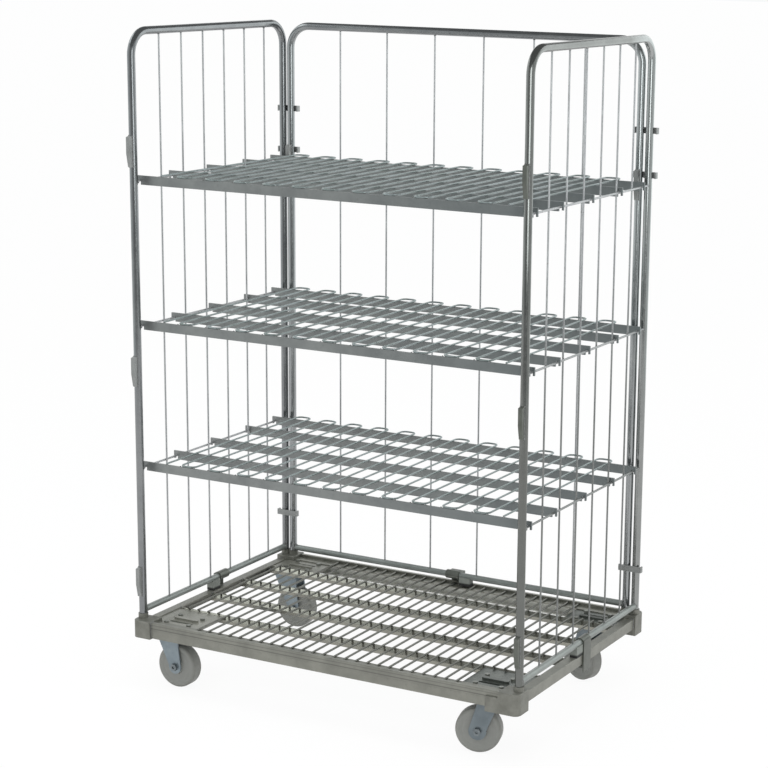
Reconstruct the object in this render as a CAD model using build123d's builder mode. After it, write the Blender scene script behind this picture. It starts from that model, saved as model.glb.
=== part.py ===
from build123d import *
import math
import os

os.makedirs("parts", exist_ok=True)

# Overall sizes, in millimetres. X runs along the long side, the open front faces -Y, Z is up.
base_w = 1220.0
base_d = 800.0
frame_top_z = 1850.0

# Base frame: folded sheet rails between four corner sockets
rail_z0 = 160.0
rail_h = 45.0
rail_t = 3.0
rail_inset = 6.0
rail_round = 2.0
crease_z = 24.0
crease_h = 3.0
crease_d = 0.5
lip_w = 12.0
step_h = 8.0
ledge_w = 32.0
flange_w = 30.0
side_lift = 8.0
side_flange_w = 27.0
side_foot_w = 15.0
corner_len = 60.0
left_corner_drop = 3.0
right_corner_drop = 12.0
corner_rise = 2.0
corner_wall = 4.0
corner_round = 18.0
collar_rise = 14.0
collar_wall = 2.5
post_seat = 7.0
socket_floor = 4.0
corner_edge = 1.5
skirt_len = 37.0
skirt_h = 30.0
weld_gap = 0.3

# Panel tubes and wires
tube_r = 11.0
tube_wall = 1.5
tube_bend = 64.0
post_in_x = 15.0
post_in_y = 33.0
back_post_step = 28.0
back_top_drop = 7.0
low_rail_r = 9.0
low_rail_wall = 1.5
low_rail_z = 230.0
wire_r = 2.5
wire_in = 2.5
side_first_gap = 120.0
side_pitch = 102.0
side_last_gap = 60.0
back_pitch = 158.0
back_first_gap = 88.0
support_r = 3.0

# Shelves
shelf_top_low = 654.0
shelf_pitch = 399.5
shelf_count = 3
bar_h = 25.0
bar_t = 5.0
bar_front_gap = 31.0
bar_back_gap = 51.0
bar_outer_step = 146.0
bar_inner_pitch = 180.0
hook_h = 11.0
hook_reach = 9.0
hook_slot = 9.0
hook_drop = 22.0
deck_wire_r = 2.5
deck_pitch = 45.7
deck_edge = 68.45
deck_bend = 16.0
deck_behind = 24.0
deck_gap = 0.1

# Floor of the base
strip_count = 4
strip_front_gap = 179.0
strip_back_gap = 136.2
strip_h = 25.0
strip_w = 25.0
floor_wire_r = 3.0
floor_pitch = 34.0
floor_edge = 29.9
floor_over = 4.0
wire_end_gap = 2.0

# Linking lugs and corner clips
lug_w = 12.0
lug_out = 12.0
lug_h = 84.0
lug_straight = 48.0
lug_tip = 5.0
lug_slope = 3.0
lug_low_z = 315.0
lug_pitch = 603.0
back_lug_z = 1440.0
clip_t = 4.0
clip_h = 17.0
clip_over = 10.0
clip_return = 9.0
clip_low_z = 342.0
clip_high_zs = (1466.0, 1588.0)

# Panel latches and rubber buffers
latch_w = 44.0
latch_t = 4.0
latch_gap = 1.0
latch_eye_wall = 4.0
latch_fit = 0.08
latch_tail = 13.0
latch_toe_len = 11.0
latch_toe_t = 4.5
latch_toe_gap = 5.5
latch_head = 7.0
latch_from_wire = 61.0
latch_lead = 1.5
back_latch_x = 2.0
buffer_len = 36.0
buffer_w = 22.0
buffer_gap = 2.0
buffer_saddle = 6.0

# Castors
wheel_r = 62.5
wheel_w = 38.0
wheel_edge = 7.0
wheel_dish = 2.0
wheel_rim_r = 52.0
wheel_slope = 9.0
hub_slope = 2.0
hub_r = 21.0
hub_w = 43.0
axle_r = 6.0
axle_fit = 0.06
leg_t = 4.0
leg_gap = 0.8
fixed_end_r = 20.0
swivel_end_r = 24.0
leg_skirt = 12.0
leg_shoulder = 4.0
fixed_lead = 18.0
fixed_leg_out = 70.0
fixed_leg_in = 5.0
plate_out = 39.0
castor_in_y = 93.0
fixed_in_x = 113.0
swivel_in_x = 118.0
swivel_trail = 38.0
front_swivel_angle = 16.0
back_swivel_angle = -20.0
plate_l = 100.0
plate_w = 85.0
plate_t = 4.0
plate_hole_x = 76.0
plate_hole_y = 68.0
carrier_t = 5.0
carrier_reach = 192.0
carrier_edge = 2.0
carrier_gap = 3.0
carrier_rib_w = 14.0
carrier_rib_l = 80.0
carrier_rib_h = 6.0
carrier_rib_in = 9.0
carrier_slot_w = 10.0
carrier_slot_l = 76.0
carrier_slot_out = 15.0
race_r = 34.0
race_h = 13.0
race_edge = 3.0
crown_gap = 0.3
crown_t = 4.0
crown_r = 33.0
crown_lead = 8.0
king_r = 7.0
king_fit = 0.06
bolt_r = 4.0
bolt_hole_r = 4.4
bolt_head_af = 13.0
bolt_head_h = 5.5
nut_h = 6.5
bolt_over = 2.0
axle_head_af = 19.0
axle_head_h = 8.0
axle_mark_r = 4.0
axle_mark_d = 3.0

# Derived positions
rail_top = rail_z0 + rail_h
rail_out_x = base_w / 2 - rail_inset
rail_out_y = base_d / 2 - rail_inset
corner_in_x = base_w / 2 - corner_len
corner_in_y = base_d / 2 - corner_len
ledge_top = rail_top - step_h
ledge_low = ledge_top - rail_t
side_z0 = rail_z0 + side_lift
corner_drops = {"left": left_corner_drop, "right": right_corner_drop}
corner_z1 = rail_top + corner_rise
collar_top = corner_z1 + collar_rise
socket_r = tube_r + weld_gap
collar_r = socket_r + collar_wall
post_x = base_w / 2 - post_in_x
post_y = base_d / 2 - post_in_y
post_z0 = rail_z0 + post_seat
back_post_x = post_x - back_post_step
tube_z = frame_top_z - tube_r
back_tube_z = tube_z - back_top_drop
side_wire_x = post_x - wire_in
support_x = side_wire_x + wire_r + support_r
side_wire_count = int((2 * post_y - side_first_gap - side_last_gap) / side_pitch) + 1
side_wire_y = [-post_y + side_first_gap + k * side_pitch for k in range(side_wire_count)]
back_wire_half = int((back_post_x - back_first_gap) / back_pitch + 0.5)
back_wire_x = [(k + 0.5) * back_pitch for k in range(-back_wire_half, back_wire_half)]
shelf_tops = [shelf_top_low + k * shelf_pitch for k in range(shelf_count)]
bar_front_y = bar_front_gap - post_y
bar_second_y = bar_front_y + bar_outer_step
bar_inner_ys = [bar_second_y + k * bar_inner_pitch for k in range(3)]
bar_ys = [bar_front_y] + bar_inner_ys + [post_y - bar_back_gap]
support_drop = hook_h + support_r
strip_first_y = strip_front_gap - rail_out_y
strip_pitch = (rail_out_y - strip_back_gap - strip_first_y) / (strip_count - 1)
strip_ys = [strip_first_y + k * strip_pitch for k in range(strip_count)]
strip_end = rail_out_x - side_flange_w - deck_gap
castor_y = base_d / 2 - castor_in_y
fixed_x = fixed_in_x - base_w / 2
fixed_axle_x = fixed_x - fixed_lead
swivel_x = base_w / 2 - swivel_in_x
carrier_in_x = base_w / 2 - carrier_reach
carrier_low = ledge_low - carrier_t
carrier_front_y = strip_ys[0] - carrier_gap
carrier_back_y = strip_ys[-1] + rail_t + carrier_gap
plate_low = carrier_low - plate_t
crown_top = plate_low - race_h - crown_gap
leg_in = hub_w / 2 + leg_gap
sides = (("left", -1), ("right", 1))
ends = (("front", -1), ("back", 1))


def save(piece, name):
    piece.part.label = name
    export_step(piece.part, "parts/" + name + ".step")


def box(x0, x1, y0, y1, z0, z1, mode=Mode.ADD):
    with BuildSketch(Plane.XY.offset(z0)) as face:
        with Locations(((x0 + x1) / 2, (y0 + y1) / 2)):
            Rectangle(abs(x1 - x0), abs(y1 - y0))
    extrude(face.sketch, amount=z1 - z0, mode=mode)


def drum(points, z0, z1, r, mode=Mode.ADD):
    with BuildSketch(Plane.XY.offset(z0)) as face:
        with Locations(*points):
            Circle(r)
    extrude(face.sketch, amount=z1 - z0, mode=mode)


def rod_plane_y(y):
    return Plane(origin=(0, y, 0), x_dir=(-1, 0, 0), z_dir=(0, 1, 0))


def rods_along_y(points, y0, y1, r, mode=Mode.ADD):
    with BuildSketch(rod_plane_y(y0)) as face:
        with Locations(*[(-x, z) for x, z in points]):
            Circle(r)
    extrude(face.sketch, amount=y1 - y0, mode=mode)


def rods_along_x(points, x0, x1, r, mode=Mode.ADD):
    with BuildSketch(Plane.YZ.offset(x0)) as face:
        with Locations(*points):
            Circle(r)
    extrude(face.sketch, amount=x1 - x0, mode=mode)


# Front and back rails: folded section with a faint pressed crease and an inner ledge for the floor wires,
# drawn with the outer face at u = 0 and u growing inwards
def rail_section():
    return [
        (0, rail_z0),
        (0, rail_z0 + crease_z - crease_h / 2),
        (crease_d, rail_z0 + crease_z),
        (0, rail_z0 + crease_z + crease_h / 2),
        (0, rail_top - rail_round),
        (rail_round / 3, rail_top - rail_round / 3),
        (rail_round, rail_top),
        (lip_w, rail_top),
        (lip_w, ledge_top),
        (lip_w + ledge_w, ledge_top),
        (lip_w + ledge_w, ledge_low),
        (lip_w - rail_t, ledge_low),
        (lip_w - rail_t, rail_top - rail_t),
        (rail_t, rail_top - rail_t),
        (rail_t, rail_z0 + rail_t),
        (flange_w, rail_z0 + rail_t),
        (flange_w, rail_z0),
    ]


# Side rails: lower channels whose flat tops lie level with the ledges
def side_section():
    return [
        (0, side_z0),
        (0, ledge_top - rail_round),
        (rail_round / 3, ledge_top - rail_round / 3),
        (rail_round, ledge_top),
        (side_flange_w, ledge_top),
        (side_flange_w, ledge_low),
        (rail_t, ledge_low),
        (rail_t, side_z0 + rail_t),
        (side_foot_w, side_z0 + rail_t),
        (side_foot_w, side_z0),
    ]


for end, s in ends:
    with BuildPart() as base_rail:
        with BuildSketch(Plane.YZ.offset(-corner_in_x)):
            with BuildLine():
                Polyline([(s * (rail_out_y - u), z) for u, z in rail_section()], close=True)
            make_face()
        extrude(amount=2 * corner_in_x)
    save(base_rail, "base_rail_" + end)

for side, s in sides:
    with BuildPart() as base_rail:
        with BuildSketch(rod_plane_y(-corner_in_y)):
            with BuildLine():
                Polyline([(-s * (rail_out_x - u), z) for u, z in side_section()], close=True)
            make_face()
        extrude(amount=2 * corner_in_y)
    save(base_rail, "base_rail_" + side)

# Corner sockets: open-bottomed shells with a rounded outer edge and round collars for the posts. The right
# ones hang lower, with a skirt that laps over the rail's outer face.
for end, sy in ends:
    for side, sx in sides:
        posts = [(sx * post_x, sy * post_y)]
        if end == "back":
            posts.append((sx * back_post_x, sy * post_y))
        corner_z0 = rail_z0 - corner_drops[side]
        with BuildPart() as corner:
            box(sx * corner_in_x, sx * base_w / 2, sy * corner_in_y, sy * base_d / 2, corner_z0, corner_z1)
            outer = corner.edges().filter_by(Axis.Z).sort_by(lambda e: sx * e.center().X + sy * e.center().Y)[-1]
            fillet(outer, corner_round)
            chamfer(corner.faces().sort_by(Axis.Z)[-1].edges(), corner_edge)
            box(
                sx * (corner_in_x + corner_wall),
                sx * (base_w / 2 - corner_wall),
                sy * (corner_in_y + corner_wall),
                sy * (base_d / 2 - corner_round),
                corner_z0,
                corner_z1 - corner_wall,
                Mode.SUBTRACT,
            )
            if side == "right":
                box(
                    sx * (corner_in_x - skirt_len),
                    sx * (corner_in_x + corner_wall),
                    sy * (rail_out_y + weld_gap),
                    sy * base_d / 2,
                    corner_z0,
                    rail_z0 + skirt_h,
                )
            drum(posts, post_z0 - socket_floor, collar_top, collar_r)
            drum(posts, post_z0, collar_top, socket_r, Mode.SUBTRACT)
        save(corner, "corner_socket_" + end + "_" + side)

# Castor carriers: plates under the rail ledges, each with a raised rib, a slot in front of it and a notch
# round the corner socket
castors = []
for end, sy in ends:
    castors.append((fixed_x, sy * castor_y))
    castors.append((swivel_x, sy * castor_y))
bolt_points = []
for cx, cy in castors:
    for i in (-1, 1):
        for j in (-1, 1):
            bolt_points.append((cx + i * plate_hole_x / 2, cy + j * plate_hole_y / 2))
with BuildPart() as carriers:
    for cx, cy in castors:
        sx = math.copysign(1, cx)
        sy = math.copysign(1, cy)
        edge_x = rail_out_x - lip_w - carrier_edge
        edge_y = rail_out_y - lip_w - carrier_edge
        in_y = carrier_front_y if sy < 0 else carrier_back_y
        box(sx * carrier_in_x, sx * edge_x, in_y, sy * edge_y, carrier_low, ledge_low)
        box(
            sx * (corner_in_x - weld_gap),
            sx * (edge_x + 1),
            sy * (corner_in_y - weld_gap),
            sy * (edge_y + 1),
            carrier_low,
            ledge_low,
            Mode.SUBTRACT,
        )
        with BuildSketch(Plane.XY.offset(ledge_low)):
            with Locations((cx, cy - sy * carrier_rib_in)):
                SlotOverall(carrier_rib_l, carrier_rib_w)
        extrude(amount=carrier_rib_h)
        with BuildSketch(Plane.XY.offset(ledge_low)):
            with Locations((cx, cy + sy * carrier_slot_out)):
                SlotOverall(carrier_slot_l, carrier_slot_w)
        extrude(amount=-carrier_t, mode=Mode.SUBTRACT)
    drum(bolt_points, carrier_low, ledge_top, bolt_hole_r, Mode.SUBTRACT)
save(carriers, "castor_carriers")

# Castor bolts: hexagon head over the carrier, hexagon nut under the castor plate
with BuildPart() as castor_bolts:
    with BuildSketch(Plane.XY.offset(ledge_low)):
        with Locations(*bolt_points):
            RegularPolygon(bolt_head_af / 2, 6, major_radius=False)
    extrude(amount=bolt_head_h)
    drum(bolt_points, plate_low - nut_h - bolt_over, ledge_low, bolt_r)
    with BuildSketch(Plane.XY.offset(plate_low)):
        with Locations(*bolt_points):
            RegularPolygon(bolt_head_af / 2, 6, major_radius=False)
    extrude(amount=-nut_h)
save(castor_bolts, "castor_bolts")

# Floor: four angle strips carrying straight wires that end on the front and back ledges
with BuildPart() as strips:
    for y in strip_ys:
        box(-strip_end, strip_end, y, y + rail_t, ledge_top - strip_h, ledge_top)
        box(-strip_end, strip_end, y - strip_w + rail_t, y, ledge_top - strip_h, ledge_top - strip_h + rail_t)
save(strips, "floor_strips")

wire_z = ledge_top + floor_wire_r
floor_half = round((strip_end - floor_edge) / floor_pitch)
floor_step = (strip_end - floor_edge) / floor_half
floor_xs = [k * floor_step for k in range(-floor_half, floor_half + 1)]
full_x = [x for x in floor_xs if abs(x) < carrier_in_x - floor_wire_r]
side_x = [x for x in floor_xs if abs(x) >= carrier_in_x - floor_wire_r]
full_end = rail_out_y - lip_w - wire_end_gap
with BuildPart() as floor_wires:
    rods_along_y([(x, wire_z) for x in full_x], -full_end, full_end, floor_wire_r)
    rods_along_y([(x, wire_z) for x in side_x], strip_ys[0] - floor_over, strip_ys[-1] + rail_t + floor_over, floor_wire_r)
save(floor_wires, "floor_wires")


# Bent tube standing in two sockets, with the section swept along posts and top
def bent_tube(plane, half_span, top_z):
    with BuildLine(plane) as path:
        FilletPolyline(
            (-half_span, post_z0),
            (-half_span, top_z),
            (half_span, top_z),
            (half_span, post_z0),
            radius=tube_bend,
        )
    with BuildSketch(Plane(origin=plane.from_local_coords((-half_span, post_z0, 0)), z_dir=(0, 0, 1))) as face:
        Circle(tube_r)
        Circle(tube_r - tube_wall, mode=Mode.SUBTRACT)
    sweep(face.sketch, path=path.line)


def lug(plane, z):
    with BuildSketch(plane) as face:
        with BuildLine():
            Polyline(
                (0, z + lug_h / 2),
                (lug_out, z + lug_h / 2 - lug_slope),
                (lug_out, z + lug_h / 2 - lug_straight),
                (lug_tip, z - lug_h / 2),
                (0, z - lug_h / 2),
                close=True,
            )
        make_face()
    extrude(face.sketch, amount=lug_w / 2, both=True)


lug_zs = [lug_low_z + k * lug_pitch for k in range(3)]
for side, s in sides:
    with BuildPart() as side_frame:
        bent_tube(Plane(origin=(s * post_x, 0, 0), x_dir=(0, 1, 0), z_dir=(1, 0, 0)), post_y, tube_z)
    save(side_frame, "side_frame_" + side)

    rail_end = post_y
    with BuildPart() as side_rail:
        rods_along_y([(s * post_x, low_rail_z)], -rail_end, rail_end, low_rail_r)
        rods_along_y([(s * post_x, low_rail_z)], -rail_end, rail_end, low_rail_r - low_rail_wall, Mode.SUBTRACT)
        posts = [(s * post_x, -post_y), (s * post_x, post_y)]
        drum(posts, low_rail_z - 2 * tube_r, low_rail_z + 2 * tube_r, socket_r, Mode.SUBTRACT)
    save(side_rail, "side_rail_" + side)

    wire_top = tube_z - tube_r
    wire_low = low_rail_z + low_rail_r
    with BuildPart() as side_wires:
        drum([(s * side_wire_x, y) for y in side_wire_y], wire_low, wire_top, wire_r)
    save(side_wires, "side_wires_" + side)

    support_end = post_y - tube_r
    with BuildPart() as supports:
        rods_along_y([(s * support_x, z - support_drop) for z in shelf_tops], -support_end, support_end, support_r)
    save(supports, "shelf_supports_" + side)

    with BuildPart() as lugs:
        for z in lug_zs:
            lug(Plane(origin=(s * post_x, -post_y - tube_r, 0), x_dir=(0, -1, 0), z_dir=(-1, 0, 0)), z)
    save(lugs, "front_lugs_" + side)

# Back panel: its posts stand beside the back posts of the side panels
with BuildPart() as back_frame:
    bent_tube(Plane(origin=(0, post_y, 0), x_dir=(1, 0, 0), z_dir=(0, -1, 0)), back_post_x, back_tube_z)
save(back_frame, "back_frame")

with BuildPart() as back_rail:
    rods_along_x([(post_y, low_rail_z)], -back_post_x, back_post_x, low_rail_r)
    rods_along_x([(post_y, low_rail_z)], -back_post_x, back_post_x, low_rail_r - low_rail_wall, Mode.SUBTRACT)
    posts = [(-back_post_x, post_y), (back_post_x, post_y)]
    drum(posts, low_rail_z - 2 * tube_r, low_rail_z + 2 * tube_r, socket_r, Mode.SUBTRACT)
save(back_rail, "back_rail")

with BuildPart() as back_wires:
    drum([(x, post_y) for x in back_wire_x], low_rail_z + low_rail_r, back_tube_z - tube_r, wire_r)
save(back_wires, "back_wires")

with BuildPart() as back_lugs:
    for s in (-1, 1):
        lug(Plane(origin=(s * back_post_x, post_y - tube_r, 0), x_dir=(0, -1, 0), z_dir=(-1, 0, 0)), back_lug_z)
save(back_lugs, "back_lugs")

# Corner clips: strips across each pair of posts with both ends turned round them. The two upper ones
# lie behind the posts and the low one in front.
clip_x0 = back_post_x - tube_r - clip_over
clip_x1 = post_x + tube_r + clip_over
with BuildPart() as clips:
    for z, way in [(clip_low_z, -1)] + [(z, 1) for z in clip_high_zs]:
        face_y = post_y + way * tube_r
        z0 = z - clip_h / 2
        z1 = z + clip_h / 2
        for s in (-1, 1):
            box(s * clip_x0, s * clip_x1, face_y, face_y + way * clip_t, z0, z1)
            for x in (clip_x0, clip_x1 - clip_t):
                box(s * x, s * (x + clip_t), face_y - way * clip_return, face_y, z0, z1)
save(clips, "corner_clips")


# Latch section seen along the bottom rail, u measured outwards from the rail axis
def latch_section(plane, span, rail_low):
    eye_r = low_rail_r + latch_fit
    with BuildSketch(plane) as face:
        with Locations((0, low_rail_z)):
            Circle(eye_r + latch_eye_wall)
        with Locations(((span + latch_t) / 2, low_rail_z)):
            Rectangle(span + latch_t, 2 * latch_head)
        with BuildLine():
            Polyline(
                (span, low_rail_z + latch_head),
                (span, rail_low - latch_toe_gap),
                (span - latch_toe_len, rail_low - latch_toe_gap),
                (span - latch_toe_len, rail_low - latch_toe_gap - latch_toe_t),
                (span, rail_low - latch_toe_gap - latch_toe_t),
                (span + latch_lead, rail_z0 - latch_tail),
                (span + latch_t, rail_z0 - latch_tail),
                (span + latch_t, low_rail_z + latch_head),
                close=True,
            )
        make_face()
        with Locations((0, low_rail_z)):
            Circle(eye_r, mode=Mode.SUBTRACT)
    extrude(face.sketch, amount=latch_w / 2, both=True)


# Buffer section: block on the rail lip with a saddle under the panel's bottom rail
def buffer_block(plane, shift, foot_z):
    saddle_z = low_rail_z - low_rail_r + buffer_saddle
    with BuildSketch(plane) as face:
        with Locations((0, (foot_z + saddle_z) / 2)):
            Rectangle(buffer_w, saddle_z - foot_z)
        with Locations((0, low_rail_z)):
            Circle(low_rail_r + weld_gap, mode=Mode.SUBTRACT)
    extrude(face.sketch, amount=shift + buffer_len)
    with BuildSketch(plane) as face:
        with Locations((0, low_rail_z)):
            Rectangle(2 * buffer_w, 4 * buffer_w)
    extrude(face.sketch, amount=shift, mode=Mode.SUBTRACT)


buffer_shift = latch_w / 2 + buffer_gap
latch_y = side_wire_y[(side_wire_count - 1) // 2] + latch_from_wire
for side, s in sides:
    across = Plane(origin=(s * post_x, latch_y, 0), x_dir=(s, 0, 0), z_dir=(0, -s, 0))
    beside = Plane(origin=(s * post_x, latch_y, 0), x_dir=(1, 0, 0), z_dir=(0, -1, 0))
    with BuildPart() as latch:
        latch_section(across, rail_out_x - post_x + latch_gap, side_z0)
    save(latch, "latch_" + side)
    with BuildPart() as buffer:
        buffer_block(beside, buffer_shift, ledge_top)
    save(buffer, "buffer_" + side)

with BuildPart() as latch:
    latch_section(
        Plane(origin=(back_latch_x, post_y, 0), x_dir=(0, 1, 0), z_dir=(1, 0, 0)),
        rail_out_y - post_y + latch_gap,
        rail_z0,
    )
save(latch, "latch_back")
with BuildPart() as buffer:
    beside = Plane(origin=(back_latch_x, post_y, 0), x_dir=(0, 1, 0), z_dir=(1, 0, 0))
    buffer_block(beside, buffer_shift, ledge_top + 2 * floor_wire_r)
save(buffer, "buffer_back")

# Shelves: five bars on edge with hooked ends and one wire bent to and fro across their tops
bar_end = support_x + hook_reach
slot_x1 = support_x + hook_slot / 2
slot_x0 = support_x - hook_slot / 2
shelf_names = ("low", "middle", "high")
for name, z in zip(shelf_names, shelf_tops):
    with BuildPart() as bars:
        for y in bar_ys:
            box(-bar_end, bar_end, y - bar_t / 2, y + bar_t / 2, z - bar_h, z)
        for s in (-1, 1):
            box(s * slot_x0, s * slot_x1, -base_d, base_d, z - bar_h, z - hook_h, Mode.SUBTRACT)
            box(s * slot_x1, s * (bar_end + 1), -base_d, base_d, z - bar_h, z - hook_drop, Mode.SUBTRACT)
    save(bars, "shelf_bars_" + name)

    deck_z = z + deck_gap + deck_wire_r
    deck_steps = round(2 * (post_x - deck_edge) / deck_pitch)
    deck_step = 2 * (post_x - deck_edge) / deck_steps
    first_x = deck_edge - post_x
    front_y = bar_ys[0]
    back_y = bar_ys[-1] + deck_behind
    path_points = [(first_x, front_y)]
    for k in range(deck_steps + 1):
        x = first_x + k * deck_step
        turn = (back_y, front_y)[k % 2]
        path_points.append((x, turn))
        if k < deck_steps:
            path_points.append((x + deck_step, turn))
    with BuildPart() as deck:
        with BuildLine(Plane.XY.offset(deck_z)) as run:
            FilletPolyline(*path_points, radius=deck_bend)
        with BuildSketch(Plane(origin=(first_x, front_y, deck_z), x_dir=(1, 0, 0), z_dir=(0, 1, 0))):
            Circle(deck_wire_r)
        sweep(path=run.line)
    save(deck, "shelf_deck_" + name)


# Castor geometry is drawn in an upright plane through the castor's length, local x forwards
def upright(cx, cy, yaw, offset):
    a = math.radians(yaw)
    origin = (cx - offset * math.sin(a), cy + offset * math.cos(a), 0)
    return Plane(origin=origin, x_dir=(math.cos(a), math.sin(a), 0), z_dir=(math.sin(a), -math.cos(a), 0))


def fork_leg(plane, axle_u, top_z, u0, u1, end_r):
    with BuildSketch(plane) as face:
        with BuildLine():
            Polyline(
                (u0, top_z),
                (u1, top_z),
                (u1, top_z - leg_skirt),
                (axle_u + end_r, wheel_r + leg_shoulder),
                (axle_u - end_r, wheel_r + leg_shoulder),
                (u0, top_z - leg_skirt),
                close=True,
            )
        make_face()
        with Locations((axle_u, wheel_r)):
            Circle(end_r)
            Circle(axle_r + weld_gap, mode=Mode.SUBTRACT)
    extrude(face.sketch, amount=leg_t)


def wheel_body(body, cx, cy, yaw):
    a = math.radians(yaw)
    origin = (cx, cy, wheel_r)
    along = (-math.sin(a), math.cos(a), 0)
    half = wheel_w / 2
    with BuildSketch(Plane(origin=origin, x_dir=(0, 0, 1), z_dir=(-math.cos(a), -math.sin(a), 0))) as face:
        with BuildLine():
            Polyline(
                (axle_r + axle_fit, -hub_w / 2),
                (hub_r, -hub_w / 2),
                (hub_r + hub_slope, -half + wheel_dish),
                (wheel_rim_r - wheel_slope, -half + wheel_dish),
                (wheel_rim_r, -half),
                (wheel_r, -half),
                (wheel_r, half),
                (wheel_rim_r, half),
                (wheel_rim_r - wheel_slope, half - wheel_dish),
                (hub_r + hub_slope, half - wheel_dish),
                (hub_r, hub_w / 2),
                (axle_r + axle_fit, hub_w / 2),
                close=True,
            )
        make_face()
    revolve(face.sketch, axis=Axis(origin, along))
    rings = body.edges().filter_by(GeomType.CIRCLE)
    fillet([e for e in rings if e.radius > wheel_r - 0.01], wheel_edge)


# Axle bolt: hexagon head and nut outside the fork legs, with a small centre mark in each end
def axle_bolt(cx, cy, yaw):
    reach = leg_in + leg_t
    with BuildSketch(upright(cx, cy, yaw, reach)) as face:
        with Locations((0, wheel_r)):
            Circle(axle_r)
    extrude(face.sketch, amount=2 * reach)
    for offset, way in ((reach, -1), (-reach, 1)):
        with BuildSketch(upright(cx, cy, yaw, offset)) as face:
            with Locations((0, wheel_r)):
                RegularPolygon(axle_head_af / 2, 6, major_radius=False)
                Circle(axle_mark_r, mode=Mode.SUBTRACT)
        extrude(face.sketch, amount=way * axle_head_h)
        with BuildSketch(upright(cx, cy, yaw, offset)) as face:
            with Locations((0, wheel_r)):
                Circle(axle_r)
        extrude(face.sketch, amount=way * (axle_head_h - axle_mark_d))


for end, sy in ends:
    cy = sy * castor_y
    holes = [(fixed_x + i * plate_hole_x / 2, cy + j * plate_hole_y / 2) for i in (-1, 1) for j in (-1, 1)]
    with BuildPart() as fork:
        box(
            fixed_x - plate_l / 2 - plate_out,
            fixed_x + plate_l / 2,
            cy - plate_w / 2,
            cy + plate_w / 2,
            plate_low,
            carrier_low,
        )
        box(
            -base_w / 2,
            -corner_in_x + weld_gap,
            sy * (corner_in_y - weld_gap),
            sy * base_d / 2,
            plate_low,
            carrier_low,
            Mode.SUBTRACT,
        )
        for offset in (leg_in + leg_t, -leg_in):
            plane = upright(fixed_axle_x, cy, 0, offset)
            fork_leg(plane, 0, plate_low, -fixed_leg_out, fixed_leg_in, fixed_end_r)
        drum(holes, plate_low, carrier_low, bolt_hole_r, Mode.SUBTRACT)
    save(fork, "fixed_fork_" + end)

    with BuildPart() as axle:
        axle_bolt(fixed_axle_x, cy, 0)
    save(axle, "axle_" + end + "_left")

    with BuildPart() as wheel:
        wheel_body(wheel, fixed_axle_x, cy, 0)
    save(wheel, "wheel_" + end + "_left")

for (end, sy), yaw in zip(ends, (front_swivel_angle, back_swivel_angle)):
    cy = sy * castor_y
    a = math.radians(yaw)
    axle_x = swivel_x - swivel_trail * math.cos(a)
    axle_y = cy - swivel_trail * math.sin(a)
    holes = [(swivel_x + i * plate_hole_x / 2, cy + j * plate_hole_y / 2) for i in (-1, 1) for j in (-1, 1)]
    race_low = plate_low - race_h
    with BuildPart() as plate:
        box(
            swivel_x - plate_l / 2,
            swivel_x + plate_l / 2,
            cy - plate_w / 2,
            cy + plate_w / 2,
            plate_low,
            carrier_low,
        )
        drum([(swivel_x, cy)], race_low, plate_low, race_r)
        chamfer(plate.faces().sort_by(Axis.Z)[0].edges(), race_edge)
        drum(holes, plate_low, carrier_low, bolt_hole_r, Mode.SUBTRACT)
        drum([(swivel_x, cy)], race_low, carrier_low, king_r + weld_gap, Mode.SUBTRACT)
    save(plate, "swivel_plate_" + end)

    with BuildPart() as pin:
        drum([(swivel_x, cy)], crown_top - crown_t - crown_gap, carrier_low, king_r)
        with BuildSketch(Plane.XY.offset(crown_top - crown_t - crown_gap)):
            with Locations((swivel_x, cy)):
                RegularPolygon(axle_head_af / 2, 6, major_radius=False)
        extrude(amount=-axle_head_h)
    save(pin, "king_pin_" + end)

    with BuildPart() as fork:
        drum([(swivel_x, cy)], crown_top - crown_t, crown_top, crown_r)
        for offset in (leg_in + leg_t, -leg_in):
            plane = upright(swivel_x, cy, yaw, offset)
            fork_leg(plane, -swivel_trail, crown_top, -crown_r, crown_r - crown_lead, swivel_end_r)
        drum([(swivel_x, cy)], crown_top - crown_t, crown_top, king_r + king_fit, Mode.SUBTRACT)
    save(fork, "swivel_fork_" + end)

    with BuildPart() as axle:
        axle_bolt(axle_x, axle_y, yaw)
    save(axle, "axle_" + end + "_right")

    with BuildPart() as wheel:
        wheel_body(wheel, axle_x, axle_y, yaw)
    save(wheel, "wheel_" + end + "_right")
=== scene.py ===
"""Finishes, pressed floor strips, welds and studio of a steel roll container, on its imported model."""
import math

import bmesh
import bpy
from bpy.props import FloatProperty, FloatVectorProperty, IntProperty, PointerProperty
from mathutils import Matrix, Vector


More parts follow.
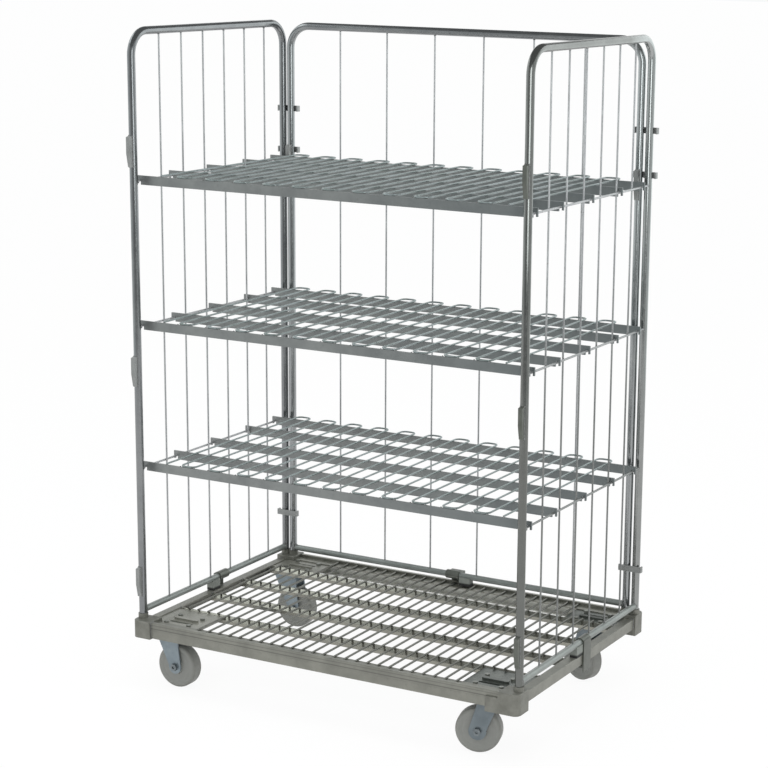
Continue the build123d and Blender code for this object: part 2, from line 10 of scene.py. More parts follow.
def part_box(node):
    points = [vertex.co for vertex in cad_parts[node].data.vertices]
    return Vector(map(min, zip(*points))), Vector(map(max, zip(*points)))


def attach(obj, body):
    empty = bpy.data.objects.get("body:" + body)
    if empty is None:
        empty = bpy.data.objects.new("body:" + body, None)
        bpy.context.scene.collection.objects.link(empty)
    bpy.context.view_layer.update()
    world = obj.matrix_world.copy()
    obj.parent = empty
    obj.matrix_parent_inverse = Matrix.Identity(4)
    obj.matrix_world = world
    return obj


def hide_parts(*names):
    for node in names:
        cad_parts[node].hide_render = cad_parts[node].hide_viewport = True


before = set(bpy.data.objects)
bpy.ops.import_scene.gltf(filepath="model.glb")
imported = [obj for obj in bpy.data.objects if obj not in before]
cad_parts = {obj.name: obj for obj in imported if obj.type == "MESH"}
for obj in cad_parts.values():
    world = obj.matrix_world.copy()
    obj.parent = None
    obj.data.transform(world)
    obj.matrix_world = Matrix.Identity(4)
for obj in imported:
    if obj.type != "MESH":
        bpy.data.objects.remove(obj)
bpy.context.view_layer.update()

bl_info = {
    "name": "Roll Container Looks",
    "version": (1, 0, 0),
    "blender": (4, 5, 0),
    "location": "3D View > Sidebar > Container",
    "description": "Dresses the packed roll container: finishes, floor strips, welds and a pale studio",
    "category": "Object",
}

MM = 0.001
SHELVES = ("low", "middle", "high")
SIDES = ("left", "right")
ENDS = ("front", "back")

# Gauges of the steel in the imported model, radii in millimetres
TUBE_R = 11.0
RAIL_R = 9.0
WIRE_R = 2.5
SUPPORT_R = 3.0
DECK_R = 2.5
FLOOR_R = 3.0

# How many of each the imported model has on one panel, shelf or floor
PANEL_WIRES = 6
SHELF_SUPPORTS = 3
DECK_RUNS = 24
FLOOR_WIRES = 33
FRONT_LUGS = 3

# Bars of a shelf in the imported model, in millimetres behind the front one, and half their thickness
BAR_STEPS = (0, 146, 326, 506, 652)
BAR_HALF = 2.5

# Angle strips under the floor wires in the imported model, in millimetres
STRIP_FLANGE = 22.0
STRIP_LEG = 3.0
STRIP_COUNT = 4

# Floor wires this near the middle lie on the front and back ledges, this far in from their ends,
# both in millimetres
LEDGE_REACH = 415.0
LEDGE_IN = 14.0

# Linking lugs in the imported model, in millimetres
LUG_HEIGHT = 84.0
BACK_LUG_WIDTH = 12.0

# Weld seams, in millimetres: distance behind a lug, distance off a post, start above the foot of a base
# rail and length over its lip. The last is the number of steps round a bottom rail's end.
LUG_SEAM_BEHIND = 1.0
POST_SEAM_OFF = 0.6
BASE_SEAM_FOOT = 2.0
BASE_SEAM_LIP = 12.0
RAIL_SEAM_STEPS = 20

# Clouds, grain and freckles in the zinc of each kind of steel, in millimetres, and the freckles' strength
TUBE_ZINC = {"cloud_mm": 90, "grain_mm": 14}
WIRE_ZINC = {"cloud_mm": 70, "grain_mm": 14}
BAR_ZINC = {"cloud_mm": 80}
FITTING_ZINC = {"cloud_mm": 30}
CARRIER_ZINC = {"cloud_mm": 40}
SHEET_ZINC = {"cloud_mm": 60, "grain_mm": 4, "freckle_mm": 14, "freckles": 0.35}
SOCKET_ZINC = {"cloud_mm": 30, "grain_mm": 3, "freckle_mm": 8, "freckles": 0.5}
FORK_ZINC = {"cloud_mm": 30, "grain_mm": 3, "freckle_mm": 13}
BOLT_ZINC = {"cloud_mm": 12, "grain_mm": 2, "freckle_mm": 9}
WELD_ZINC = {"cloud_mm": 6, "grain_mm": 2, "freckle_mm": 5}

# Bands in which a tone grows from nothing to its strength, in metres from the origin
RIGHT_POST_X = (0.5, 0.55)
LEFT_POST_X = (-0.5, -0.55)
BACK_POST_Y = (0.2, 0.3)
FRONT_POST_Y = (0.1, -0.1)
HIGH_POST_Z = (0.8, 1.3)
LOW_POST_Z = (1.3, 0.8)
LOW_WIRES_Z = (1.3, 0.85)
RIGHT_BARS_X = (0.0, 0.6)
LEFT_CARRIERS_X = (0.001, -0.001)

# Dark lines of painted shade on the front rail, where its sheet is pressed and folded: height above its
# foot in millimetres, and strength. Each line's tone is full to the first distance from its middle and gone
# at the second, and has this share of the rail's tone.
CREASE_SHADE_LINES = ((29.0, 0.6), (38.5, 0.4))
CREASE_SHADE_FULL = 0.6
CREASE_SHADE_GONE = 2.2
CREASE_SHADE_SHARE = 0.3

# Depth of the underside of the back rail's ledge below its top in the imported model, in millimetres
LEDGE_DOWN = 11.0

# Height of the black foot of the buffers, painted shade under them, in millimetres
RUBBER_FOOT = 8.0


def linear(hex_colour):
    """Turn an sRGB hex colour into the linear red, green and blue that the shaders use."""
    parts = [int(hex_colour[k:k + 2], 16) / 255 for k in (1, 3, 5)]
    return tuple(c / 12.92 if c <= 0.04045 else ((c + 0.055) / 1.055) ** 2.4 for c in parts)


def colour(name, description, hex_colour):
    """Declare one colour that a user may change."""
    return FloatVectorProperty(
        name=name, description=description, subtype="COLOR", min=0, max=1, default=linear(hex_colour)
    )


def length(name, description, millimetres):
    """Declare one real size that a user may change, kept in metres."""
    return FloatProperty(
        name=name, description=description, subtype="DISTANCE", unit="LENGTH", precision=5,
        default=millimetres * MM,
    )


def angle(name, description, degrees):
    """Declare one angle that a user may change."""
    return FloatProperty(
        name=name, description=description, subtype="ANGLE", default=math.radians(degrees)
    )


def power(name, description, watts):
    return FloatProperty(
        name=name, description=description, subtype="POWER", unit="POWER", default=watts
    )


class ContainerFinish(bpy.types.PropertyGroup):
    """Colours of the plated steel, the nylon and the rubber."""

    panel: colour("Panel zinc", "Bright zinc on the tubes of the panels", "#8f9192")
    panel_dull: colour("Panel dull zinc", "Cloudier patches in the panel zinc", "#838587")
    # Painted highlight: the brighter light on the back posts, painted as a paler zinc
    painted_highlight: colour("Fresh zinc", "Paler zinc on the back posts", "#c6caca")
    right: colour("Right frame zinc", "Greyer zinc on the right panel's tube", "#888987")
    right_dull: colour("Right frame dull zinc", "Cloudier patches on the right tube", "#7b7c7a")
    wire: colour("Wire zinc", "Bright zinc on the upright wires", "#b0b2b3")
    wire_dull: colour("Wire dull zinc", "Duller lengths of wire", "#9e9fa1")
    # Painted shade: the darkening low on the right panel
    shade: colour("Handled zinc", "Darker zinc low on the right panel, where it is handled", "#686a67")
    rail: colour("Rail zinc", "Greyer zinc on the bottom rails of the panels", "#8b908d")
    rail_dull: colour("Rail dull zinc", "Duller lengths of bottom rail", "#7c817e")
    fitting: colour("Fitting zinc", "Zinc on the left and back lugs and the clips", "#8f9190")
    fitting_dull: colour("Fitting dull zinc", "Duller patches on the fittings", "#7f8180")
    latch: colour("Latch zinc", "Olive grey zinc on the latches and the right lugs", "#666963")
    latch_dull: colour("Latch dull zinc", "Duller patches on the latches", "#585b55")
    deck: colour("Deck zinc", "Blue passivated zinc on the bent deck wires", "#929b9c")
    deck_dull: colour("Deck dull zinc", "Duller patches on the deck wires", "#818b89")
    bar: colour("Bar zinc", "Greyer zinc on the flat shelf bars", "#868988")
    bar_dull: colour("Bar dull zinc", "Duller patches on the flat bars", "#777a7a")
    bar_shade: colour("Bar shade", "Darker zinc towards the right ends of the bars", "#596264")
    base: colour("Base zinc", "Warm grey zinc on the folded base rails", "#87877f")
    base_dull: colour("Base dull zinc", "Duller patches on the base", "#787871")
    back: colour("Back rail zinc", "Smoother zinc on the back rail", "#8d8d84")
    back_dull: colour("Back rail dull zinc", "Duller patches on the back rail", "#7f7f77")
    # Painted light: a pale tone for the shaded hollow under the back rail's ledge
    inside: colour("Unworn zinc", "Pale matt zinc left inside the back rail", "#e2e2dc")
    floor: colour("Floor zinc", "Smooth zinc on the pressed floor strips", "#96958c")
    floor_dull: colour("Floor dull zinc", "Duller patches on the floor strips", "#8a8981")
    mesh: colour("Floor wire zinc", "Dark grey zinc on the floor wires", "#75756f")
    mesh_dull: colour("Floor wire dull zinc", "Duller lengths of floor wire", "#686862")
    socket: colour("Socket zinc", "Darker zinc on the corner sockets", "#7d7d76")
    socket_dull: colour("Socket dull zinc", "Duller patches on the sockets", "#6b6b64")
    carrier: colour("Carrier zinc", "Dark grey zinc on the castor carriers", "#6a6e69")
    carrier_dull: colour("Carrier dull zinc", "Duller patches on the carriers", "#5b5f5b")
    bolt: colour("Bolt zinc", "Paler zinc on the castor bolts", "#8a8c86")
    bolt_dull: colour("Bolt dull zinc", "Duller patches on the castor bolts", "#777973")
    fixed: colour("Fixed fork zinc", "Paler blue zinc on the fixed forks", "#89949a")
    fixed_dull: colour("Fixed fork dull zinc", "Duller patches on the fixed forks", "#7c878e")
    castor: colour("Castor zinc", "Blue grey zinc on the swivel forks and plates", "#747d82")
    castor_dull: colour("Castor dull zinc", "Duller patches on the forks", "#687176")
    fastener: colour("Fastener zinc", "Grey zinc on the axles and king pins", "#868d90")
    fastener_dull: colour("Fastener dull zinc", "Oily patches on the axles", "#6c7275")
    weld: colour("Weld metal", "Plated weld beads", "#8f9091")
    weld_dull: colour("Weld scale", "Darker scale on the beads", "#6f6e6c")
    nylon: colour("Wheel nylon", "Greyish white moulded nylon", "#878884")
    nylon_scuff: colour("Scuffed nylon", "Dirt rubbed into the tread", "#706f68")
    rubber: colour("Rubber", "Black moulded buffers", "#232423")
    rubber_bloom: colour("Rubber bloom", "Grey bloom on the buffers", "#8b8f89")


class WeldSizes(bpy.types.PropertyGroup):
    """Sizes of the weld spots and seams."""

    spot_radius: length("Spot radius", "Radius of the bead where two wires cross", 2.9)
    end_radius: length("End radius", "Radius of the bead where a wire ends on a tube", 3.6)
    seam_radius: length("Seam radius", "Radius of the beads along a welded seam", 2.0)
    seam_pitch: length("Seam pitch", "Distance between the ripples of a seam", 2.6)
    variation: FloatProperty(
        name="Variation", description="How much the beads differ in size", default=0.25, min=0, max=1
    )
    seed: IntProperty(name="Seed", description="Seed of the beads' sizes", default=7)


class StripSizes(bpy.types.PropertyGroup):
    """Section of the pressed strips under the floor wires."""

    shoulder: length("Shoulder", "Drop and reach of the sloping shoulder under the wires", 10.6)
    lip: length("Lip", "Depth of the upright lip below the shoulder", 10)
    gauge: length("Gauge", "Thickness of the strip's sheet", 2.5)


class StudioSettings(bpy.types.PropertyGroup):
    """Camera, lamps, floor and the surroundings that the plated steel mirrors."""

    focal_px: FloatProperty(
        name="Focal length", description="Focal length in pixels of a 768 pixel frame", default=2108.39
    )
    azimuth: angle("Azimuth", "Turn of the view round the object", 27.2341)
    elevation: angle("Elevation", "Downward tilt of the view", 12.7244)
    roll: angle("Roll", "Turn of the picture about the view axis", 0.9444)
    shift: FloatVectorProperty(
        name="Shift", description="Sideways and upward shift of the frame", size=2,
        default=(-0.151042, 0.028646),
    )
    place: FloatVectorProperty(
        name="Camera place", description="Where the camera stands", subtype="TRANSLATION", unit="LENGTH",
        default=(2.888883, -4.956929, 2.116987),
    )
    top_power: power("Top light", "Power of the overhead soft box", 70)
    front_power: power("Front light", "Power of the soft box beside the camera", 10)
    floor: colour("Floor", "Pale floor", "#f4f4f4")
    wall: colour("Studio wall", "Tint of the wall panels that only reflections show", "#f6fbfb")
    sky: colour("Surroundings", "Pale light from all round", "#f6f8f8")


def add(tree, kind, inputs=None, **settings):
    """Add one node with its settings, and fill its inputs with values or links."""
    made = tree.nodes.new(kind)
    for key, value in settings.items():
        setattr(made, key, value)
    for key, value in (inputs or {}).items():
        if isinstance(value, bpy.types.NodeSocket):
            tree.links.new(value, made.inputs[key])
        else:
            made.inputs[key].default_value = value
    return made


def new_material(name):
    """Start an empty node material and hand back its tree."""
    made = bpy.data.materials.new(name)
    made.use_nodes = True
    made.node_tree.nodes.clear()
    return made, made.node_tree


def rgba(value):
    """A colour with full alpha."""
    return (value[0], value[1], value[2], 1.0)


# Electroplated zinc: a cool grey metal with faint cloudy passivation, fine grain from the rolled or drawn
# steel under it, and a few dull freckles. The eye sees soft, slightly streaked reflections, never a mirror.
# The grain is drawn coarser than the real one, which would be too fine to show.
def plated_zinc(name, tone, key, rough, metal, cloud_mm=60, grain_mm=3, freckle_mm=19, freckles=0.25):
    bright = getattr(tone, key)
    dull = getattr(tone, key + "_dull")
    made, tree = new_material(name)
    place = add(tree, "ShaderNodeTexCoord").outputs["Object"]
    cloud = add(
        tree, "ShaderNodeTexNoise",
        {"Vector": place, "Scale": 1 / (cloud_mm * MM), "Detail": 4.0, "Roughness": 0.6},
    )
    grain = add(
        tree, "ShaderNodeTexNoise", {"Vector": place, "Scale": 1 / (grain_mm * MM), "Detail": 2.0}
    )
    spots = add(tree, "ShaderNodeTexVoronoi", {"Vector": place, "Scale": 1 / (freckle_mm * MM)})
    freckle = add(
        tree, "ShaderNodeMapRange",
        {
            "Value": spots.outputs["Distance"], "From Min": 0.05, "From Max": 0.22,
            "To Min": freckles, "To Max": 0.0,
        },
    )
    patch = add(
        tree, "ShaderNodeMapRange", {"Value": cloud.outputs["Fac"], "From Min": 0.36, "From Max": 0.66}
    )
    clouded = add(
        tree, "ShaderNodeMix",
        {0: patch.outputs["Result"], 6: rgba(bright), 7: rgba(dull)}, data_type="RGBA",
    )
    scale = rgba(tuple(c * 0.72 for c in dull))
    spotted = add(
        tree, "ShaderNodeMix",
        {0: freckle.outputs["Result"], 6: clouded.outputs[2], 7: scale}, data_type="RGBA",
    )
    roughness = add(
        tree, "ShaderNodeMapRange",
        {
            "Value": grain.outputs["Fac"], "From Min": 0.3, "From Max": 0.7,
            "To Min": rough - 0.04, "To Max": rough + 0.05,
        },
    )
    bump = add(
        tree, "ShaderNodeBump",
        {"Strength": 0.06, "Distance": 0.06 * MM, "Height": grain.outputs["Fac"]},
    )
    shader = add(
        tree, "ShaderNodeBsdfPrincipled",
        {
            "Base Color": spotted.outputs[2], "Metallic": metal, "Roughness": roughness.outputs["Result"],
            "Normal": bump.outputs["Normal"],
        },
    )
    add(tree, "ShaderNodeOutputMaterial", {"Surface": shader.outputs["BSDF"]})
    return made


def overlay(material, mask, tint, metal=None):
    """Lay a second tone over a plated finish where a mask says so, with its own metallic level if given."""
    tree = material.node_tree
    shader = next(node for node in tree.nodes if node.type == "BSDF_PRINCIPLED")
    under = shader.inputs["Base Color"].links[0].from_socket
    mixed = add(tree, "ShaderNodeMix", {0: mask, 6: under, 7: rgba(tint)}, data_type="RGBA")
    tree.links.new(mixed.outputs[2], shader.inputs["Base Color"])
    if metal is not None:
        level = shader.inputs["Metallic"]
        plain = level.links[0].from_socket if level.is_linked else level.default_value
        shine = add(tree, "ShaderNodeMapRange", {"Value": mask, "To Min": plain, "To Max": metal})
        tree.links.new(shine.outputs["Result"], level)


def ramp(material, axis, band, strength=1.0):
    """A mask that grows along one axis of the object, from nothing where a band starts to its strength."""
    tree = material.node_tree
    place = add(tree, "ShaderNodeTexCoord").outputs["Object"]
    along = add(tree, "ShaderNodeSeparateXYZ", {"Vector": place}).outputs[axis]
    grown = add(
        tree, "ShaderNodeMapRange",
        {"Value": along, "From Min": band[0], "From Max": band[1], "To Max": strength},
    )
    return grown.outputs["Result"]


def where_both(material, first, second):
    """A mask that holds where two others do."""
    held = add(material.node_tree, "ShaderNodeMath", {0: first, 1: second}, operation="MULTIPLY")
    return held.outputs["Value"]


# Injection-moulded nylon: a greyish white, slightly waxy plastic, with dirt rubbed into the tread.
# Its skin is drawn coarser than the real one, which would be too fine to show.
def moulded_nylon(name, tone, centre, tread_mm, rubbed_mm=6, smear_mm=14, skin_mm=1.6):
    made, tree = new_material(name)
    place = add(tree, "ShaderNodeTexCoord").outputs["Object"]
    from_hub = add(tree, "ShaderNodeVectorMath", {0: place, 1: centre}, operation="SUBTRACT")
    reach = add(tree, "ShaderNodeVectorMath", {0: from_hub.outputs["Vector"]}, operation="LENGTH")
    rubbed = add(
        tree, "ShaderNodeMapRange",
        {
            "Value": reach.outputs["Value"],
            "From Min": (tread_mm - rubbed_mm) * MM, "From Max": (tread_mm + 1) * MM,
            "To Min": 0.12, "To Max": 0.75,
        },
    )
    smear = add(
        tree, "ShaderNodeTexNoise",
        {"Vector": place, "Scale": 1 / (smear_mm * MM), "Detail": 5.0, "Roughness": 0.65},
    )
    amount = add(
        tree, "ShaderNodeMath",
        {0: rubbed.outputs["Result"], 1: smear.outputs["Fac"]}, operation="MULTIPLY",
    )
    mixed = add(
        tree, "ShaderNodeMix",
        {0: amount.outputs["Value"], 6: rgba(tone.nylon), 7: rgba(tone.nylon_scuff)}, data_type="RGBA",
    )
    skin = add(tree, "ShaderNodeTexNoise", {"Vector": place, "Scale": 1 / (skin_mm * MM), "Detail": 2.0})
    bump = add(
        tree, "ShaderNodeBump",
        {"Strength": 0.2, "Distance": 0.1 * MM, "Height": skin.outputs["Fac"]},
    )
    rough = add(
        tree, "ShaderNodeMapRange", {"Value": smear.outputs["Fac"], "To Min": 0.38, "To Max": 0.62}
    )
    shader = add(
        tree, "ShaderNodeBsdfPrincipled",
        {
            "Base Color": mixed.outputs[2], "Roughness": rough.outputs["Result"], "IOR": 1.53,
            "Normal": bump.outputs["Normal"],
        },
    )
    add(tree, "ShaderNodeOutputMaterial", {"Surface": shader.outputs["BSDF"]})
    return made


# Moulded black rubber: matt, with a fine pebbled skin, rubbed to a grey bloom above a black foot that is
# painted shade under the buffer.
def black_rubber(name, tone, foot_z, blotch_mm=9, pebble_mm=1.2):
    made, tree = new_material(name)
    place = add(tree, "ShaderNodeTexCoord").outputs["Object"]
    blotch = add(
        tree, "ShaderNodeTexNoise", {"Vector": place, "Scale": 1 / (blotch_mm * MM), "Detail": 4.0}
    )
    height = add(tree, "ShaderNodeSeparateXYZ", {"Vector": place}).outputs["Z"]
    painted_shade_split = add(
        tree, "ShaderNodeMapRange",
        {
            "Value": height,
            "From Min": foot_z + (RUBBER_FOOT - 2) * MM, "From Max": foot_z + (RUBBER_FOOT + 2) * MM,
        },
    )
    fade = add(
        tree, "ShaderNodeMapRange",
        {
            "Value": blotch.outputs["Fac"], "From Min": 0.3, "From Max": 0.7,
            "To Min": 0.75, "To Max": 1.0,
        },
    )
    bloomed = where_both(made, painted_shade_split.outputs["Result"], fade.outputs["Result"])
    mixed = add(
        tree, "ShaderNodeMix",
        {0: bloomed, 6: rgba(tone.rubber), 7: rgba(tone.rubber_bloom)}, data_type="RGBA",
    )
    pebble = add(
        tree, "ShaderNodeTexNoise", {"Vector": place, "Scale": 1 / (pebble_mm * MM), "Detail": 2.0}
    )
    bump = add(
        tree, "ShaderNodeBump",
        {"Strength": 0.4, "Distance": 0.2 * MM, "Height": pebble.outputs["Fac"]},
    )
    shader = add(
        tree, "ShaderNodeBsdfPrincipled",
        {
            "Base Color": mixed.outputs[2], "Roughness": 0.72, "IOR": 1.52,
            "Normal": bump.outputs["Normal"],
        },
    )
    add(tree, "ShaderNodeOutputMaterial", {"Surface": shader.outputs["BSDF"]})
    return made


def dress(nodes, material):
    """Give CAD nodes one finish in their own material slots."""
    for name in nodes:
        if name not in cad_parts:
            raise RuntimeError("no such node: " + name)
        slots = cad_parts[name].data.materials
        slots.clear()
        slots.append(material)


def spaced(low, high, count):
    """Evenly spaced positions from one end to the other."""
    return [low + (high - low) * k / (count - 1) for k in range(count)]


def both(stem):
    """The left and right nodes of one kind."""
    return [stem + "_" + side for side in SIDES]


def four(stem):
    """The nodes of one kind at the four corners."""
    return [stem + "_" + end + "_" + side for end in ENDS for side in SIDES]


def pair(stem):
    """The front and back nodes of one kind."""
    return [stem + "_" + end for end in ENDS]


class CONTAINER_OT_panels(bpy.types.Operator):
    """Bright drawn zinc on the tube frames and wires of the three panels"""

    bl_idname = "roll_container.panels"
    bl_label = "Panels"

    def execute(self, context):
        tone = context.scene.container_finish

        # Drawn tube: the smoothest zinc here, with long clear reflections
        tube = plated_zinc("bright_zinc_drawn_tube", tone, "panel", rough=0.2, metal=0.97, **TUBE_ZINC)
        dress(["side_frame_left"], tube)

        # Painted highlight: the posts at the back are paler than the front ones, most of all high up on the
        # right
        back = plated_zinc("bright_zinc_back_tube", tone, "panel", rough=0.2, metal=0.97, **TUBE_ZINC)
        overlay(back, ramp(back, "X", RIGHT_POST_X, 0.25), tone.painted_highlight)
        overlay(back, ramp(back, "X", LEFT_POST_X, 0.25), tone.painted_highlight)
        high_right = where_both(back, ramp(back, "X", RIGHT_POST_X), ramp(back, "Z", HIGH_POST_Z, 0.35))
        overlay(back, high_right, tone.painted_highlight)
        dress(["back_frame"], back)

        # The right tube is greyer, with a painted highlight paling its back post and painted shade
        # darkening its front post low down
        grey = plated_zinc("grey_zinc_drawn_tube", tone, "right", rough=0.18, metal=0.97, **TUBE_ZINC)
        overlay(grey, ramp(grey, "Y", BACK_POST_Y, 0.22), tone.painted_highlight)
        high_back = where_both(grey, ramp(grey, "Y", BACK_POST_Y), ramp(grey, "Z", HIGH_POST_Z, 0.3))
        overlay(grey, high_back, tone.painted_highlight)
        low_front = where_both(grey, ramp(grey, "Z", LOW_POST_Z, 0.7), ramp(grey, "Y", FRONT_POST_Y))
        overlay(grey, low_front, tone.shade, metal=0.9)
        dress(["side_frame_right"], grey)

        # Drawn wire: paler and softer than the tube, and on the right darkened low down by painted shade
        wire = plated_zinc("bright_zinc_drawn_wire", tone, "wire", rough=0.3, metal=0.5, **WIRE_ZINC)
        dress(["side_wires_left", "shelf_supports_left", "back_wires"], wire)
        painted_shade_split = plated_zinc("worn_zinc_drawn_wire", tone, "wire", rough=0.3, metal=0.5, **WIRE_ZINC)
        overlay(painted_shade_split, ramp(painted_shade_split, "Z", LOW_WIRES_Z, 0.75), tone.shade)
        dress(["side_wires_right", "shelf_supports_right"], painted_shade_split)

        # Bottom rails and stamped fittings: flatter greys with soft highlights, the latches olive
        rail = plated_zinc("grey_zinc_bottom_rail", tone, "rail", rough=0.32, metal=0.4, **TUBE_ZINC)
        dress(both("side_rail") + ["back_rail"], rail)
        fitting = plated_zinc(
            "zinc_stamped_fitting", tone, "fitting", rough=0.36, metal=0.4, **FITTING_ZINC
        )
        dress(["front_lugs_left", "back_lugs", "corner_clips"], fitting)
        latch = plated_zinc("olive_zinc_latch", tone, "latch", rough=0.36, metal=0.5, **FITTING_ZINC)
        dress(both("latch") + ["latch_back", "front_lugs_right"], latch)
        return {"FINISHED"}


class CONTAINER_OT_shelves(bpy.types.Operator):
    """Blue passivated zinc on the deck wires and greyer zinc on the bars"""

    bl_idname = "roll_container.shelves"
    bl_label = "Shelves"

    def execute(self, context):
        tone = context.scene.container_finish

        # Blue passivated wire: a cool cast with soft bright lines along each run
        deck = plated_zinc("blue_zinc_deck_wire", tone, "deck", rough=0.3, metal=0.6)
        dress(["shelf_deck_" + name for name in SHELVES], deck)

        # Rolled flat bar: a flat grey, with painted shade that darkens it towards the right
        bar = plated_zinc("grey_zinc_flat_bar", tone, "bar", rough=0.36, metal=0.55, **BAR_ZINC)
        overlay(bar, ramp(bar, "X", RIGHT_BARS_X, 0.55), tone.bar_shade, metal=0.5)
        dress(["shelf_bars_" + name for name in SHELVES], bar)
        return {"FINISHED"}


class CONTAINER_OT_base(bpy.types.Operator):
    """Warm grey zinc on the folded base, its floor wires and carriers, with black rubber buffers"""

    bl_idname = "roll_container.base"
    bl_label = "Base"

    def execute(self, context):
        tone = context.scene.container_finish

        # Folded sheet: a warm matt grey with dull freckles
        sheet = plated_zinc("warm_zinc_folded_sheet", tone, "base", rough=0.4, metal=0.4, **SHEET_ZINC)
        dress(both("base_rail"), sheet)

        # Thin dark lines of painted shade run along the front rail, where its sheet is pressed and folded
        front = plated_zinc("warm_zinc_creased_rail", tone, "base", rough=0.4, metal=0.4, **SHEET_ZINC)
        crease_shade = tuple(c * CREASE_SHADE_SHARE for c in tone.base_dull)
        foot_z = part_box("base_rail_front")[0][2]
        for up_mm, strength in CREASE_SHADE_LINES:
            below = [foot_z + (up_mm - off) * MM for off in (CREASE_SHADE_GONE, CREASE_SHADE_FULL)]
            above = [foot_z + (up_mm + off) * MM for off in (CREASE_SHADE_GONE, CREASE_SHADE_FULL)]
            line = where_both(front, ramp(front, "Z", below, strength), ramp(front, "Z", above))
            overlay(front, line, crease_shade, metal=0.2)
        dress(["base_rail_front"], front)

        # Painted light: a pale matt tone brightens the shaded hollow under the back rail's ledge
        back = plated_zinc("smooth_zinc_back_rail", tone, "back", rough=0.3, metal=0.5, **SHEET_ZINC)
        top_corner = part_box("base_rail_back")[1]
        under = [top_corner[2] - (LEDGE_DOWN + off) * MM for off in (0.0, 0.5)]
        within = [top_corner[1] - off * MM for off in (1.0, 2.0)]
        hidden = where_both(back, ramp(back, "Z", under), ramp(back, "Y", within))
        overlay(back, hidden, tone.inside, metal=0.0)
        dress(["base_rail_back"], back)

        # Corner sockets: rough, darker and much freckled
        socket = plated_zinc(
            "rough_zinc_corner_socket", tone, "socket", rough=0.45, metal=0.4, **SOCKET_ZINC
        )
        dress(four("corner_socket"), socket)

        # Carrier plates: dark with clear reflections, the left ones given painted light as pale as the base
        # rails
        carrier = plated_zinc(
            "dark_zinc_carrier_plate", tone, "carrier", rough=0.3, metal=0.7, **CARRIER_ZINC
        )
        overlay(carrier, ramp(carrier, "X", LEFT_CARRIERS_X), tone.base, metal=0.3)
        dress(["castor_carriers"], carrier)

        # Castor bolts: small pale glints on the carriers
        bolt = plated_zinc("pale_zinc_castor_bolt", tone, "bolt", rough=0.35, metal=0.5, **BOLT_ZINC)
        dress(["castor_bolts"], bolt)

        # Floor wires: darker than the panels' wires, with a soft line of light along each
        wire = plated_zinc("dark_zinc_floor_wire", tone, "mesh", rough=0.36, metal=0.6)
        dress(["floor_wires"], wire)

        for name in both("buffer") + ["buffer_back"]:
            foot_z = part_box(name)[0][2]
            dress([name], black_rubber("moulded_rubber_" + name, tone, foot_z))
        return {"FINISHED"}


def strip_places():
    """Front edge of each strip's top, from the front of the floor to the back."""
    low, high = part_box("floor_strips")
    return spaced(low[1] + STRIP_FLANGE * MM, high[1] - STRIP_LEG * MM, STRIP_COUNT)


def strip_line(sizes):
    """Outer line of a strip's section, from the front lip over the top to the back lip."""
    slope = sizes.shoulder
    deep = sizes.shoulder + sizes.lip
    back = STRIP_LEG * MM
    front_half = [(-slope, -deep), (-slope, -slope), (0, 0)]
    return front_half + [(back - y, z) for y, z in reversed(front_half)]


def inset(line, gauge):
    """The same open line moved inwards by the thickness of the sheet."""
    points = [Vector(point) for point in line]
    sides = []
    for start, stop in zip(points, points[1:]):
        along = (stop - start).normalized()
        sides.append(Vector((along.y, -along.x)))
    corners = [(a + b) / (1 + a.dot(b)) for a, b in zip(sides, sides[1:])]
    ways = [sides[0]] + corners + [sides[-1]]
    return [point + gauge * way for point, way in zip(points, ways)]


class CONTAINER_OT_floor_strips(bpy.types.Operator):
    """Pressed strips with sloping shoulders, in which the floor wires mirror"""

    bl_idname = "roll_container.floor_strips"
    bl_label = "Floor Strips"

    def execute(self, context):
        tone = context.scene.container_finish
        sizes = context.scene.container_strips
        low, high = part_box("floor_strips")
        outer = strip_line(sizes)
        ring = outer + [tuple(point) for point in reversed(inset(outer, sizes.gauge))]
        count = len(ring)
        made = bmesh.new()
        for front in strip_places():
            ends = []
            for x in (low[0], high[0]):
                ends.append([made.verts.new((x, front + y, high[2] + z)) for y, z in ring])
            for k in range(count):
                after = (k + 1) % count
                made.faces.new((ends[0][k], ends[0][after], ends[1][after], ends[1][k]))
            for end in ends:
                for k in range(len(outer) - 1):
                    made.faces.new((end[k], end[k + 1], end[count - 2 - k], end[count - 1 - k]))
        bmesh.ops.recalc_face_normals(made, faces=made.faces)
        mesh = bpy.data.meshes.new("pressed_floor_strips")
        made.to_mesh(mesh)
        made.free()

        # Pressed strip: smooth enough for each floor wire to show as a dark tick in its shoulder
        strip = plated_zinc(
            "smooth_zinc_pressed_strip", tone, "floor", rough=0.22, metal=0.85, **SHEET_ZINC
        )
        mesh.materials.append(strip)
        piece = bpy.data.objects.new("pressed_floor_strips", mesh)
        context.scene.collection.objects.link(piece)
        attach(piece, "base")
        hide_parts("floor_strips")
        return {"FINISHED"}


class CONTAINER_OT_castors(bpy.types.Operator):
    """Blue zinc forks, grey axles and greyish nylon wheels"""

    bl_idname = "roll_container.castors"
    bl_label = "Castors"

    def execute(self, context):
        tone = context.scene.container_finish

        # Pressed forks: a cool grey with soft highlights, the fixed ones paler
        fixed = plated_zinc("pale_zinc_pressed_fork", tone, "fixed", rough=0.34, metal=0.5, **FORK_ZINC)
        dress(pair("fixed_fork"), fixed)
        swivel = plated_zinc("blue_zinc_pressed_fork", tone, "castor", rough=0.34, metal=0.5, **FORK_ZINC)
        dress(pair("swivel_fork") + pair("swivel_plate"), swivel)

        # Turned axles and king pins: a duller grey with oily patches
        axle = plated_zinc("grey_zinc_fastener", tone, "fastener", rough=0.42, metal=0.7, **BOLT_ZINC)
        dress(pair("king_pin") + four("axle"), axle)

        for name in four("wheel"):
            low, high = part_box(name)
            centre = tuple((a + b) / 2 for a, b in zip(low, high))
            tread_mm = (high[2] - low[2]) / 2 / MM
            dress([name], moulded_nylon("moulded_nylon_" + name, tone, centre, tread_mm))
        return {"FINISHED"}


